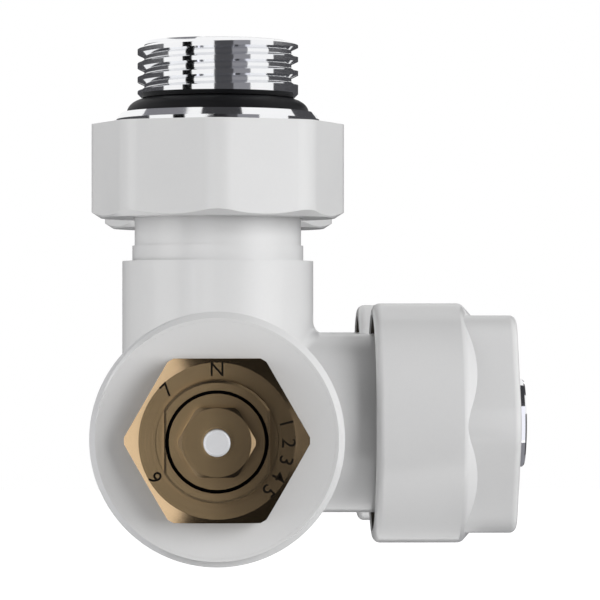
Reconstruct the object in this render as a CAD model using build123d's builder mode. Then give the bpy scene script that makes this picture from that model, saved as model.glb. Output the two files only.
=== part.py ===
from build123d import *
from math import atan2, cos, radians, sin
import os

# Radiator bottom connection valve: supply and return side by side, corner version, with a
# presettable thermostatic insert in the supply and a lockshield in the return.
# +Z is up to the radiator, +X runs to the pipes, and -Y runs to the thermostat head. The origin
# lies on the supply riser's axis, where the nipple's radiator thread starts. Millimetres.

# Layout and clearances
connection_spacing = 50.0
insert_drop = 0.6
slide_clearance = 0.05
thread_clearance = 0.08
seat_clearance = 0.1
hexagon_sides = 6

# Standard threads, drawn as cylinders over their crests
radiator_thread_radius = 10.48
union_thread_radius = 13.22
head_thread_radius = 15.0
thread_chamfer = 0.8

# Body casting
riser_radius = 12.45
riser_height = 21.1
ring_radius = 11.15
ring_height = 2.0
neck_radius = 10.85
neck_height = 8.3
waterway_radius = 6.0
pipe_neck_radius = 11.65
pipe_neck_length = 22.6
pipe_thread_length = 10.0
barrel_radius = 13.0
barrel_overrun = 4.5
barrel_end_fillet = 2.5
bridge_radius = 7.5
junction_fillet = 1.5
head_face_out = 46.35
head_thread_length = 9.0
head_chamfer = 0.74
rear_face_out = 24.0
rear_chamfer = 0.6

# The body's pilot in the nipple, and the ring that holds the union nut
pilot_radius = 8.3
pilot_height = 4.6
pilot_chamfer = 0.5
pilot_groove_depth = 1.3
pilot_groove_width = 1.9
pilot_groove_up = 1.4
retaining_groove_depth = 0.5
retaining_ring_width = 1.2
retaining_ring_wall = 1.7
retaining_ring_slot = 3.0

# Nipple and its seal
nipple_collar_height = 9.05
nipple_chamfer_height = 0.9
nipple_chamfer_width = 0.7
seal_height = 1.9
seal_core_radius = 8.9
seal_reach = 11.87
land_chamfer = 0.55
radiator_thread_length = 6.8
thread_tip_radius = 9.3
thread_tip_height = 0.45
socket_across_flats = 12.0
pilot_socket_depth = 5.4

# Union nut
union_nut_gap = 3.6
union_nut_height = 12.25
union_nut_sides = 8
union_nut_across_flats = 31.1
union_nut_rounding = 4.5
union_nut_floor = 2.1
union_nut_cone_height = 1.0
union_nut_cone_radius = 15.3
union_nut_hole_gap = 0.3

# Pipe nut
pipe_nut_lap = 2.5
pipe_nut_length = 18.35
pipe_nut_collar_radius = 15.6
pipe_nut_collar_length = 11.5
pipe_nut_collar_fillet = 1.0
pipe_nut_shoulder_length = 1.4
pipe_nut_across_flats = 28.06
pipe_nut_rounding = 4.6
pipe_nut_end_fillet = 0.9
pipe_nut_mouth_radius = 14.1
pipe_nut_mouth_depth = 2.3
pipe_nut_hole_length = 1.05
pipe_nut_cone_radius = 10.1

# Compression fitting for a pipe, with a support nozzle that seats in the body's cone
pipe_radius = 8.0
pipe_gap = 0.15
cone_mouth_radius = 9.0
cone_depth = 6.0
nozzle_radius = 5.725
nozzle_bore_radius = 4.4
nozzle_reach = 1.45
nozzle_stop_radius = 9.6
nozzle_stop_thickness = 1.3
nozzle_tip_chamfer = 0.2
clamp_length = 2.4
clamp_slot = 1.6
cone_seal_radius = 0.7
cone_seal_up = 2.6
pipe_seal_width = 1.2
pipe_seal_depth = 0.7
pipe_seal_first = 1.0
pipe_seal_spacing = 2.0
pipe_seal_count = 2

# Supply seat and insert, placed outwards from the supply riser's axis
seat_out = 6.0
seat_wall = 3.0
seat_bore_radius = 4.5
seat_back_radius = 5.5
riser_bore_sink = 6.5
chamber_radius = 8.8
chamber_end_out = 24.0
insert_barrel_radius = 9.0
insert_thread_radius = 9.3
insert_thread_length = 12.0
insert_hexagon_across_flats = 19.1
insert_corner_radius = 10.8
insert_hexagon_thickness = 3.65
insert_face_radius = 9.1
insert_face_chamfer = 0.9
insert_seal_out = 28.0
insert_seal_width = 1.9
insert_seal_depth = 1.3

# Presetting ring and sleeve
dial_ring_radius = 7.1
dial_ring_across_flats = 12.2
dial_ring_height = 3.0
dial_ring_depth = 3.35
dial_ring_bore_radius = 5.94
dial_ring_chamfer = 0.3
sleeve_radius = 6.0
sleeve_front_radius = 5.6
sleeve_front_out = 50.8
sleeve_bore_radius = 4.2
sleeve_web_out = 22.0
sleeve_web_thickness = 5.0
sleeve_seal_out = 38.0
sleeve_seal_width = 1.5
sleeve_seal_depth = 0.9
skirt_radius = 7.8
skirt_wall = 1.0
port_count = 8
port_out = 14.0
port_smallest = 0.8
port_step = 0.23

# Stuffing gland
gland_flange_radius = 5.55
gland_flange_thickness = 1.8
gland_hexagon_across_flats = 8.0
gland_corner_radius = 4.45
gland_hexagon_height = 2.8
gland_face_radius = 3.96
gland_face_chamfer = 0.25
gland_stem_radius = 4.15
gland_stem_length = 7.5
gland_seal_up = 2.2
gland_seal_width = 1.4
gland_seal_depth = 1.4

# Pin, stem, spring and disc
pin_radius = 1.55
pin_reach = 2.1
pin_tip_fillet = 0.3
pin_travel = 2.5
stem_radius = 2.0
stem_collar_radius = 3.8
stem_collar_thickness = 1.6
spring_wire_radius = 0.42
spring_radius = 3.1
spring_turns = 5.0
disc_radius = 5.4
disc_thickness = 2.5
disc_recess = 2.0
holder_radius = 6.0
holder_length = 4.2

# Lockshield, placed outwards from the return riser's axis
lock_chamber_radius = 7.2
lock_barrel_radius = 7.9
lock_barrel_length = 10.0
lock_hexagon_across_flats = 17.0
lock_hexagon_thickness = 3.4
lock_spigot_radius = 7.4
lock_spigot_length = 6.5
lock_spindle_radius = 3.6
lock_spindle_sink = 1.2
lock_cone_radius = 5.6
lock_cone_tip_radius = 3.4
lock_cone_length = 4.0
lock_cone_shoulder = 1.4
lock_lift = 2.6
lock_socket_across_flats = 5.0
lock_socket_depth = 5.0
lock_seal_up = 6.0
lock_seal_width = 1.6
lock_seal_depth = 1.0
cap_wall = 1.6
cap_length = 10.0
cap_end_thickness = 2.0
cap_edge_fillet = 0.8
cap_flute_count = 12
cap_flute_radius = 1.0

# Slanted passage from each pipe neck round its seat
passage_radius = 4.3
passage_start = 16.0
passage_end = 3.0
passage_end_out = 15.5

# Rubber rings are squeezed to rounded rectangles: the rounding as a share of the smaller side
seal_rounding = 0.35

# Heights above the origin, from the stack of body, nipple and seal
land_z = -land_chamfer
sealing_z = land_z - seal_height
neck_top_z = sealing_z - nipple_collar_height
ring_top_z = neck_top_z - neck_height
riser_top_z = ring_top_z - ring_height
pipe_z = riser_top_z - riser_height
insert_z = pipe_z - insert_drop
pilot_top_z = neck_top_z + pilot_height
pilot_groove_z = neck_top_z + pilot_groove_up
nut_bottom_z = ring_top_z + union_nut_gap
nut_floor_z = nut_bottom_z + union_nut_floor
retaining_ring_z = nut_floor_z + seat_clearance
thread_tip_z = radiator_thread_length
union_nut_corner_radius = union_nut_across_flats / 2 / cos(radians(180 / union_nut_sides))

# Distances along a pipe from its riser's axis
pipe_thread_end = pipe_neck_length + pipe_thread_length
pipe_nut_start = pipe_neck_length - pipe_nut_lap
pipe_nut_end = pipe_nut_start + pipe_nut_length
nozzle_stop = pipe_thread_end + seat_clearance
nozzle_stop_end = nozzle_stop + nozzle_stop_thickness
nut_cone_start = nozzle_stop_end + seat_clearance
nut_cone_end = pipe_nut_end - pipe_nut_hole_length
nut_hole_radius = pipe_radius + pipe_gap
nozzle_end = pipe_nut_end + nozzle_reach

# Distances along the insert's axis, outwards from the supply riser's axis
insert_face_out = head_face_out + insert_hexagon_thickness
dial_ring_front_out = insert_face_out + dial_ring_height
dial_ring_back_out = insert_face_out - dial_ring_depth
skirt_front_out = chamber_end_out - seat_clearance
insert_thread_out = head_face_out - insert_thread_length
gland_hexagon_out = sleeve_front_out + gland_flange_thickness
gland_front_out = gland_hexagon_out + gland_hexagon_height
gland_back_out = sleeve_front_out - gland_stem_length
gland_seal_out = gland_back_out + gland_seal_up
pin_tip_out = gland_front_out + pin_reach
stem_front_out = gland_back_out - seat_clearance
stem_collar_out = stem_front_out - stem_collar_thickness
disc_face_out = seat_out + pin_travel
disc_back_out = disc_face_out + disc_thickness
sleeve_web_front_out = sleeve_web_out + sleeve_web_thickness

# Distances along the lockshield's axis, outwards from the return riser's axis
lock_back_out = rear_face_out - lock_barrel_length + seat_clearance
lock_hexagon_end = rear_face_out + lock_hexagon_thickness
lock_spigot_end = lock_hexagon_end + lock_spigot_length
lock_cone_slope = (lock_cone_radius - lock_cone_tip_radius) / lock_cone_length
lock_tip_out = seat_out + lock_lift - (seat_bore_radius - lock_cone_tip_radius) / lock_cone_slope
lock_cone_out = lock_tip_out + lock_cone_length
lock_shoulder_out = lock_cone_out + lock_cone_shoulder
lock_seal_out = lock_back_out + lock_seal_up
cap_start_out = lock_hexagon_end + seat_clearance
cap_bore_radius = lock_spigot_radius + thread_clearance
cap_radius = cap_bore_radius + cap_wall

os.makedirs("parts", exist_ok=True)

# In the profile planes local x is the radius, and local y is the height above the origin for the
# risers and the distance outwards for the pipes, the insert and the lockshield
insert_profile = Plane((0, 0, insert_z), x_dir=(-1, 0, 0), z_dir=(0, 0, 1))
insert_section = Plane((0, 0, insert_z), x_dir=(1, 0, 0), z_dir=(0, -1, 0))
insert_axis = Axis((0, 0, insert_z), (0, -1, 0))
lock_profile = Plane((0, connection_spacing, insert_z), x_dir=(1, 0, 0), z_dir=(0, 0, 1))
lock_section = Plane((0, connection_spacing, insert_z), x_dir=(-1, 0, 0), z_dir=(0, 1, 0))
lock_axis = Axis((0, connection_spacing, insert_z), (0, 1, 0))
sides = (("supply", 0.0, -1), ("return", connection_spacing, 1))


def riser_profile(side_y):
    """Plane through a riser's axis."""
    return Plane((0, side_y, 0), x_dir=(1, 0, 0), z_dir=(0, -1, 0))


def riser_axis(side_y):
    return Axis((0, side_y, 0), (0, 0, 1))


def pipe_profile(side_y):
    """Plane through a pipe's axis."""
    return Plane((0, side_y, pipe_z), x_dir=(0, 0, 1), z_dir=(0, 1, 0))


def pipe_axis(side_y):
    return Axis((0, side_y, pipe_z), (1, 0, 0))


def pipe_section(side_y, distance):
    """Plane square to a pipe's axis, at a distance from its riser's axis."""
    return Plane((distance, side_y, pipe_z), x_dir=(0, 1, 0), z_dir=(1, 0, 0))


def turn(profile, axis, *points, mode=Mode.ADD):
    """Turns a closed outline of (radius, distance) points about its axis."""
    with BuildSketch(profile) as outline:
        with BuildLine():
            Polyline(*points, close=True)
        make_face()
    revolve(outline.sketch, axis=axis, mode=mode)


def turn_box(profile, axis, inner, outer, start, end, mode=Mode.ADD):
    """Turns a rectangle, a ring between two radii and two distances."""
    turn(profile, axis, (inner, start), (outer, start), (outer, end), (inner, end), mode=mode)


def turn_seal(profile, axis, inner, outer, start, width):
    """Turns a rubber ring's section, squeezed to a rounded rectangle in its groove."""
    rounding = seal_rounding * min(outer - inner, width)
    with BuildSketch(profile) as section:
        with Locations(((inner + outer) / 2, start + width / 2)):
            RectangleRounded(outer - inner, width, rounding)
    revolve(section.sketch, axis=axis)


def finish(part, name):
    """Names a finished piece and writes it."""
    part.label = name
    export_step(part, f"parts/{name}.step")


# Valve body: one painted brass casting. Each side is a riser standing on a cross barrel, with a
# neck for its pipe, and a bar bridges the two sides.
barrel_back = riser_radius + barrel_overrun
with BuildPart() as valve_body:
    for side, side_y, outwards in sides:
        with BuildSketch(Plane((0, side_y, pipe_z))):
            Circle(riser_radius)
        extrude(amount=riser_height)
        with BuildSketch(pipe_section(side_y, 0)):
            Circle(pipe_neck_radius)
        extrude(amount=pipe_neck_length)
    with BuildSketch(insert_section.offset(-barrel_back)):
        Circle(barrel_radius)
    extrude(amount=barrel_back + head_face_out - head_thread_length)
    with BuildSketch(lock_section.offset(-barrel_back)):
        Circle(barrel_radius)
    extrude(amount=barrel_back + rear_face_out)
    junctions = valve_body.edges().filter_by(
        lambda edge: edge.geom_type not in (GeomType.CIRCLE, GeomType.LINE)
    )
    fillet(junctions, radius=junction_fillet)
    barrel_ends = valve_body.edges().filter_by(GeomType.CIRCLE).filter_by_position(
        Axis.Y, barrel_back, connection_spacing - barrel_back
    )
    fillet(barrel_ends, radius=barrel_end_fillet)
    rear_edge = valve_body.edges().filter_by(GeomType.CIRCLE).sort_by(Axis.Y)[-1]
    chamfer(rear_edge, length=rear_chamfer)
    with BuildSketch(insert_section.offset(barrel_back - connection_spacing)):
        Circle(bridge_radius)
    extrude(amount=connection_spacing - 2 * barrel_back)

    # The boss for the thermostat head
    head_back_out = head_face_out - head_thread_length
    turn(
        insert_profile,
        insert_axis,
        (0, head_back_out),
        (head_thread_radius - head_chamfer, head_back_out),
        (head_thread_radius, head_back_out + head_chamfer),
        (head_thread_radius, head_face_out - head_chamfer),
        (head_thread_radius - head_chamfer, head_face_out),
        (0, head_face_out),
    )

    for side, side_y, outwards in sides:
        # The riser's neck and pilot, grooved for the retaining ring and the seal
        turn(
            riser_profile(side_y),
            riser_axis(side_y),
            (0, riser_top_z),
            (ring_radius, riser_top_z),
            (ring_radius, ring_top_z),
            (neck_radius, ring_top_z),
            (neck_radius, neck_top_z),
            (pilot_radius, neck_top_z),
            (pilot_radius, pilot_top_z - pilot_chamfer),
            (pilot_radius - pilot_chamfer, pilot_top_z),
            (0, pilot_top_z),
        )
        turn_box(
            riser_profile(side_y),
            riser_axis(side_y),
            neck_radius - retaining_groove_depth,
            neck_radius,
            retaining_ring_z,
            retaining_ring_z + retaining_ring_width,
            mode=Mode.SUBTRACT,
        )
        turn_box(
            riser_profile(side_y),
            riser_axis(side_y),
            pilot_radius - pilot_groove_depth,
            pilot_radius,
            pilot_groove_z,
            pilot_groove_z + pilot_groove_width,
            mode=Mode.SUBTRACT,
        )

        # The pipe connection's thread
        turn(
            pipe_profile(side_y),
            pipe_axis(side_y),
            (0, pipe_neck_length),
            (union_thread_radius - thread_chamfer, pipe_neck_length),
            (union_thread_radius, pipe_neck_length + thread_chamfer),
            (union_thread_radius, pipe_thread_end - thread_chamfer),
            (union_thread_radius - thread_chamfer, pipe_thread_end),
            (0, pipe_thread_end),
        )

        # The waterways: down the riser to the back of the seat, and in from the pipe
        with BuildSketch(Plane((0, side_y, insert_z - riser_bore_sink))):
            Circle(waterway_radius)
        extrude(amount=pilot_top_z - insert_z + riser_bore_sink, mode=Mode.SUBTRACT)
        turn(
            pipe_profile(side_y),
            pipe_axis(side_y),
            (0, passage_start),
            (waterway_radius, passage_start),
            (waterway_radius, pipe_thread_end - cone_depth),
            (cone_mouth_radius, pipe_thread_end),
            (0, pipe_thread_end),
            mode=Mode.SUBTRACT,
        )
        passage_run = Vector(passage_end - passage_start, outwards * passage_end_out, 0)
        with BuildSketch(Plane((passage_start, side_y, pipe_z), z_dir=passage_run)):
            Circle(passage_radius)
        extrude(amount=passage_run.length, mode=Mode.SUBTRACT)
        with Locations((passage_start, side_y, pipe_z)):
            Sphere(passage_radius, mode=Mode.SUBTRACT)

    # The stepped bore for the insert, with the supply's seat at its end
    turn(
        insert_profile,
        insert_axis,
        (0, 0),
        (seat_back_radius, 0),
        (seat_back_radius, seat_out - seat_wall),
        (seat_bore_radius, seat_out - seat_wall),
        (seat_bore_radius, seat_out),
        (chamber_radius, seat_out),
        (chamber_radius, chamber_end_out),
        (insert_barrel_radius + slide_clearance, chamber_end_out),
        (insert_barrel_radius + slide_clearance, insert_thread_out),
        (insert_thread_radius + thread_clearance, insert_thread_out),
        (insert_thread_radius + thread_clearance, head_face_out),
        (0, head_face_out),
        mode=Mode.SUBTRACT,
    )

    # The stepped bore for the lockshield, with the return's seat at its end
    turn(
        lock_profile,
        lock_axis,
        (0, 0),
        (seat_back_radius, 0),
        (seat_back_radius, seat_out - seat_wall),
        (seat_bore_radius, seat_out - seat_wall),
        (seat_bore_radius, seat_out),
        (lock_chamber_radius, seat_out),
        (lock_chamber_radius, rear_face_out - lock_barrel_length),
        (lock_barrel_radius + thread_clearance, rear_face_out - lock_barrel_length),
        (lock_barrel_radius + thread_clearance, rear_face_out),
        (0, rear_face_out),
        mode=Mode.SUBTRACT,
    )
finish(valve_body.part, "valve_body")


for side, side_y, outwards in sides:
    # Nipple: screws into the radiator with a key in its hexagonal socket. Its collar carries the
    # union nut's thread and takes the body's pilot.
    with BuildPart() as nipple:
        turn(
            riser_profile(side_y),
            riser_axis(side_y),
            (0, neck_top_z),
            (union_thread_radius - thread_chamfer, neck_top_z),
            (union_thread_radius, neck_top_z + thread_chamfer),
            (union_thread_radius, sealing_z - nipple_chamfer_height),
            (union_thread_radius - nipple_chamfer_width, sealing_z),
            (0, sealing_z),
        )
        turn(
            riser_profile(side_y),
            riser_axis(side_y),
            (0, sealing_z),
            (seal_core_radius, sealing_z),
            (seal_core_radius, land_z),
            (radiator_thread_radius - land_chamfer, land_z),
            (radiator_thread_radius, 0),
            (radiator_thread_radius, thread_tip_z - thread_tip_height),
            (thread_tip_radius, thread_tip_z),
            (0, thread_tip_z),
        )
        with BuildSketch(Plane((0, side_y, neck_top_z))):
            Circle(pilot_radius + slide_clearance)
        extrude(amount=pilot_socket_depth, mode=Mode.SUBTRACT)
        with BuildSketch(Plane((0, side_y, neck_top_z))):
            RegularPolygon(radius=socket_across_flats / 2, side_count=hexagon_sides, major_radius=False)
        extrude(amount=thread_tip_z - neck_top_z, mode=Mode.SUBTRACT)
    finish(nipple.part, f"{side}_nipple")

    # Radiator seal: a rubber ring squeezed to a dome on the nipple's collar
    with BuildPart() as nipple_seal:
        with BuildSketch(riser_profile(side_y)):
            with Locations((seal_core_radius, sealing_z)):
                Ellipse(seal_reach - seal_core_radius, seal_height)
                Rectangle(seal_reach, seal_height, align=(Align.MIN, Align.MIN), mode=Mode.INTERSECT)
        revolve(axis=riser_axis(side_y))
    finish(nipple_seal.part, f"{side}_nipple_seal")

    # Pilot seal: in the groove of the body's pilot
    with BuildPart() as pilot_seal:
        turn_seal(
            riser_profile(side_y),
            riser_axis(side_y),
            pilot_radius - pilot_groove_depth,
            pilot_radius + slide_clearance,
            pilot_groove_z,
            pilot_groove_width,
        )
    finish(pilot_seal.part, f"{side}_pilot_seal")

    # Retaining ring: a split ring in the neck's groove, which the union nut's floor pulls on
    with BuildPart() as retaining_ring:
        ring_inner = neck_radius - retaining_groove_depth
        turn_box(
            riser_profile(side_y),
            riser_axis(side_y),
            ring_inner,
            ring_inner + retaining_ring_wall,
            retaining_ring_z,
            retaining_ring_z + retaining_ring_width,
        )
        with BuildSketch(Plane((0, side_y, retaining_ring_z))):
            Rectangle(2 * neck_radius, retaining_ring_slot, align=(Align.MIN, Align.CENTER))
        extrude(amount=retaining_ring_width, mode=Mode.SUBTRACT)
    finish(retaining_ring.part, f"{side}_retaining_ring")

    # Union nut: a rounded octagon, coned at its lower edge, with a floor that catches the ring
    with BuildPart() as union_nut:
        with BuildSketch(Plane((0, side_y, nut_bottom_z))):
            octagon = RegularPolygon(
                radius=union_nut_across_flats / 2, side_count=union_nut_sides, major_radius=False
            )
            fillet(octagon.vertices(), radius=union_nut_rounding)
        extrude(amount=union_nut_height)
        turn(
            riser_profile(side_y),
            riser_axis(side_y),
            (0, nut_bottom_z),
            (union_nut_cone_radius, nut_bottom_z),
            (union_nut_corner_radius, nut_bottom_z + union_nut_cone_height),
            (union_nut_corner_radius, nut_bottom_z + union_nut_height),
            (0, nut_bottom_z + union_nut_height),
            mode=Mode.INTERSECT,
        )
        with BuildSketch(Plane((0, side_y, nut_floor_z))):
            Circle(union_thread_radius + thread_clearance)
        extrude(amount=union_nut_height, mode=Mode.SUBTRACT)
        with BuildSketch(Plane((0, side_y, nut_bottom_z))):
            Circle(neck_radius + union_nut_hole_gap)
        extrude(amount=union_nut_floor, mode=Mode.SUBTRACT)
    finish(union_nut.part, f"{side}_union_nut")

    # Pipe nut: a round collar with a recessed mouth, shouldered down to a hexagon
    with BuildPart() as pipe_nut:
        shoulder_start = pipe_nut_start + pipe_nut_collar_length
        with BuildSketch(pipe_section(side_y, shoulder_start)):
            hexagon = RegularPolygon(
                radius=pipe_nut_across_flats / 2, side_count=hexagon_sides, major_radius=False
            )
            fillet(hexagon.vertices(), radius=pipe_nut_rounding)
        extrude(amount=pipe_nut_end - shoulder_start)
        end_edges = pipe_nut.faces().sort_by(Axis.X)[-1].edges()
        fillet(end_edges, radius=pipe_nut_end_fillet)
        shoulder_end = shoulder_start + pipe_nut_shoulder_length
        with BuildSketch(pipe_profile(side_y)) as collar:
            with BuildLine():
                Polyline(
                    (0, pipe_nut_start),
                    (pipe_nut_collar_radius, pipe_nut_start),
                    (pipe_nut_collar_radius, shoulder_start),
                    (pipe_nut_across_flats / 2, shoulder_end),
                    (0, shoulder_end),
                    close=True,
                )
            make_face()
            fillet(collar.vertices().group_by(Axis.X)[-1], radius=pipe_nut_collar_fillet)
        revolve(axis=pipe_axis(side_y))
        turn(
            pipe_profile(side_y),
            pipe_axis(side_y),
            (0, pipe_nut_start),
            (pipe_nut_mouth_radius, pipe_nut_start),
            (pipe_nut_mouth_radius, pipe_nut_start + pipe_nut_mouth_depth),
            (union_thread_radius + thread_clearance, pipe_nut_start + pipe_nut_mouth_depth),
            (union_thread_radius + thread_clearance, nozzle_stop),
            (pipe_nut_cone_radius, nozzle_stop),
            (pipe_nut_cone_radius, nut_cone_start),
            (nut_hole_radius, nut_cone_end),
            (nut_hole_radius, pipe_nut_end),
            (0, pipe_nut_end),
            mode=Mode.SUBTRACT,
        )
    finish(pipe_nut.part, f"{side}_pipe_nut")

    # Nozzle: its cone seats in the body, its stop takes the pipe's end, its tube holds the pipe
    # open inside
    cone_slope = (cone_mouth_radius - waterway_radius) / cone_depth
    cone_start = pipe_thread_end - cone_depth
    cone_seal_centre = pipe_thread_end - cone_seal_up
    cone_at_seal = cone_mouth_radius - cone_slope * cone_seal_up
    cone_seal_middle = cone_at_seal - (cone_seal_radius + slide_clearance) / cos(atan2(cone_slope, 1))
    with BuildPart() as nozzle:
        turn(
            pipe_profile(side_y),
            pipe_axis(side_y),
            (nozzle_bore_radius, cone_start),
            (waterway_radius - seat_clearance, cone_start),
            (cone_mouth_radius - seat_clearance, pipe_thread_end),
            (cone_mouth_radius - seat_clearance, nozzle_stop),
            (nozzle_stop_radius, nozzle_stop),
            (nozzle_stop_radius, nozzle_stop_end),
            (nozzle_radius, nozzle_stop_end),
            (nozzle_radius, nozzle_end - nozzle_tip_chamfer),
            (nozzle_radius - nozzle_tip_chamfer, nozzle_end),
            (nozzle_bore_radius, nozzle_end),
        )
        turn_box(
            pipe_profile(side_y),
            pipe_axis(side_y),
            cone_seal_middle - cone_seal_radius,
            cone_mouth_radius,
            cone_seal_centre - cone_seal_radius,
            cone_seal_centre + cone_seal_radius,
            mode=Mode.SUBTRACT,
        )
        for index in range(pipe_seal_count):
            groove = nozzle_stop_end + pipe_seal_first + index * pipe_seal_spacing
            turn_box(
                pipe_profile(side_y),
                pipe_axis(side_y),
                nozzle_radius - pipe_seal_depth,
                nozzle_radius,
                groove,
                groove + pipe_seal_width,
                mode=Mode.SUBTRACT,
            )
    finish(nozzle.part, f"{side}_nozzle")

    # Cone seal: a round rubber ring in the nozzle's cone
    with BuildPart() as cone_seal:
        with BuildSketch(pipe_profile(side_y)):
            with Locations((cone_seal_middle, cone_seal_centre)):
                Circle(cone_seal_radius)
        revolve(axis=pipe_axis(side_y))
    finish(cone_seal.part, f"{side}_cone_seal")

    # Pipe seals: a pair of rubber rings on the nozzle's tube
    with BuildPart() as pipe_seals:
        for index in range(pipe_seal_count):
            turn_seal(
                pipe_profile(side_y),
                pipe_axis(side_y),
                nozzle_radius - pipe_seal_depth,
                nozzle_radius,
                nozzle_stop_end + pipe_seal_first + index * pipe_seal_spacing,
                pipe_seal_width,
            )
    finish(pipe_seals.part, f"{side}_pipe_seals")

    # Clamp ring: a split ring that the nut's cone closes on the pipe
    nut_cone_slope = (pipe_nut_cone_radius - nut_hole_radius) / (nut_cone_end - nut_cone_start)
    with BuildPart() as clamp_ring:
        turn(
            pipe_profile(side_y),
            pipe_axis(side_y),
            (nut_hole_radius, nut_cone_start),
            (pipe_nut_cone_radius - seat_clearance, nut_cone_start),
            (
                pipe_nut_cone_radius - seat_clearance - nut_cone_slope * clamp_length,
                nut_cone_start + clamp_length,
            ),
            (nut_hole_radius, nut_cone_start + clamp_length),
        )
        with BuildSketch(pipe_section(side_y, nut_cone_start)):
            Rectangle(clamp_slot, pipe_nut_cone_radius, align=(Align.CENTER, Align.MAX))
        extrude(amount=clamp_length, mode=Mode.SUBTRACT)
    finish(clamp_ring.part, f"{side}_clamp_ring")


# Insert body: the brass hexagon with the dial, screwed into the boss and sealed at its barrel
with BuildPart() as insert_body:
    with BuildSketch(insert_section.offset(head_face_out)):
        RegularPolygon(radius=insert_hexagon_across_flats / 2, side_count=hexagon_sides, major_radius=False)
    extrude(amount=insert_hexagon_thickness)
    turn(
        insert_profile,
        insert_axis,
        (0, head_face_out),
        (insert_corner_radius, head_face_out),
        (insert_corner_radius, insert_face_out - insert_face_chamfer),
        (insert_face_radius, insert_face_out),
        (0, insert_face_out),
        mode=Mode.INTERSECT,
    )
    turn(
        insert_profile,
        insert_axis,
        (0, skirt_front_out + seat_clearance),
        (insert_barrel_radius, skirt_front_out + seat_clearance),
        (insert_barrel_radius, insert_thread_out + seat_clearance),
        (insert_thread_radius, insert_thread_out + seat_clearance),
        (insert_thread_radius, head_face_out),
        (0, head_face_out),
    )
    turn_box(
        insert_profile,
        insert_axis,
        insert_barrel_radius - insert_seal_depth,
        insert_barrel_radius,
        insert_seal_out,
        insert_seal_out + insert_seal_width,
        mode=Mode.SUBTRACT,
    )
    turn(
        insert_profile,
        insert_axis,
        (0, skirt_front_out),
        (sleeve_radius + slide_clearance, skirt_front_out),
        (sleeve_radius + slide_clearance, dial_ring_back_out - slide_clearance),
        (dial_ring_radius + slide_clearance, dial_ring_back_out - slide_clearance),
        (dial_ring_radius + slide_clearance, insert_face_out),
        (0, insert_face_out),
        mode=Mode.SUBTRACT,
    )
finish(insert_body.part, "insert_body")

# Insert seal: between the insert's barrel and the body
with BuildPart() as insert_seal:
    turn_seal(
        insert_profile,
        insert_axis,
        insert_barrel_radius - insert_seal_depth,
        insert_barrel_radius + slide_clearance,
        insert_seal_out,
        insert_seal_width,
    )
finish(insert_seal.part, "insert_seal")

# Presetting ring: the dial's turning ring, with two flats for the setting key
with BuildPart() as presetting_ring:
    turn_box(insert_profile, insert_axis, 0, dial_ring_radius, dial_ring_back_out, insert_face_out)
    with BuildSketch(insert_section.offset(insert_face_out)):
        Circle(dial_ring_radius)
        Rectangle(dial_ring_across_flats, 2 * dial_ring_radius, mode=Mode.INTERSECT)
    extrude(amount=dial_ring_height)
    front_edges = presetting_ring.faces().sort_by(Axis.Y)[0].edges()
    chamfer(front_edges, length=dial_ring_chamfer)
    turn(
        insert_profile,
        insert_axis,
        (0, dial_ring_back_out),
        (sleeve_front_radius, dial_ring_back_out),
        (sleeve_front_radius, sleeve_front_out),
        (dial_ring_bore_radius, sleeve_front_out),
        (dial_ring_bore_radius, dial_ring_front_out),
        (0, dial_ring_front_out),
        mode=Mode.SUBTRACT,
    )
finish(presetting_ring.part, "presetting_ring")

# Presetting sleeve: turns with the ring, and its skirt brings one port or another to the passage
with BuildPart() as presetting_sleeve:
    turn(
        insert_profile,
        insert_axis,
        (0, seat_out + seat_clearance),
        (skirt_radius, seat_out + seat_clearance),
        (skirt_radius, skirt_front_out),
        (sleeve_radius, skirt_front_out),
        (sleeve_radius, dial_ring_back_out),
        (sleeve_front_radius, dial_ring_back_out),
        (sleeve_front_radius, sleeve_front_out),
        (0, sleeve_front_out),
    )
    turn_box(
        insert_profile,
        insert_axis,
        sleeve_radius - sleeve_seal_depth,
        sleeve_radius,
        sleeve_seal_out,
        sleeve_seal_out + sleeve_seal_width,
        mode=Mode.SUBTRACT,
    )
    turn(
        insert_profile,
        insert_axis,
        (0, seat_out),
        (skirt_radius - skirt_wall, seat_out),
        (skirt_radius - skirt_wall, sleeve_web_out),
        (stem_radius + slide_clearance, sleeve_web_out),
        (stem_radius + slide_clearance, sleeve_web_front_out),
        (sleeve_bore_radius, sleeve_web_front_out),
        (sleeve_bore_radius, sleeve_front_out),
        (0, sleeve_front_out),
        mode=Mode.SUBTRACT,
    )
    for index in range(port_count):
        port_angle = radians(index * 360 / port_count)
        port_direction = (cos(port_angle), 0, sin(port_angle))
        with BuildSketch(Plane((0, -port_out, insert_z), z_dir=port_direction)):
            Circle(port_smallest + port_step * (port_count - 1 - index))
        extrude(amount=chamber_radius, mode=Mode.SUBTRACT)
finish(presetting_sleeve.part, "presetting_sleeve")

# Sleeve seal: between the presetting sleeve and the insert
with BuildPart() as sleeve_seal:
    turn_seal(
        insert_profile,
        insert_axis,
        sleeve_radius - sleeve_seal_depth,
        sleeve_radius,
        sleeve_seal_out,
        sleeve_seal_width,
    )
finish(sleeve_seal.part, "sleeve_seal")

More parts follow.
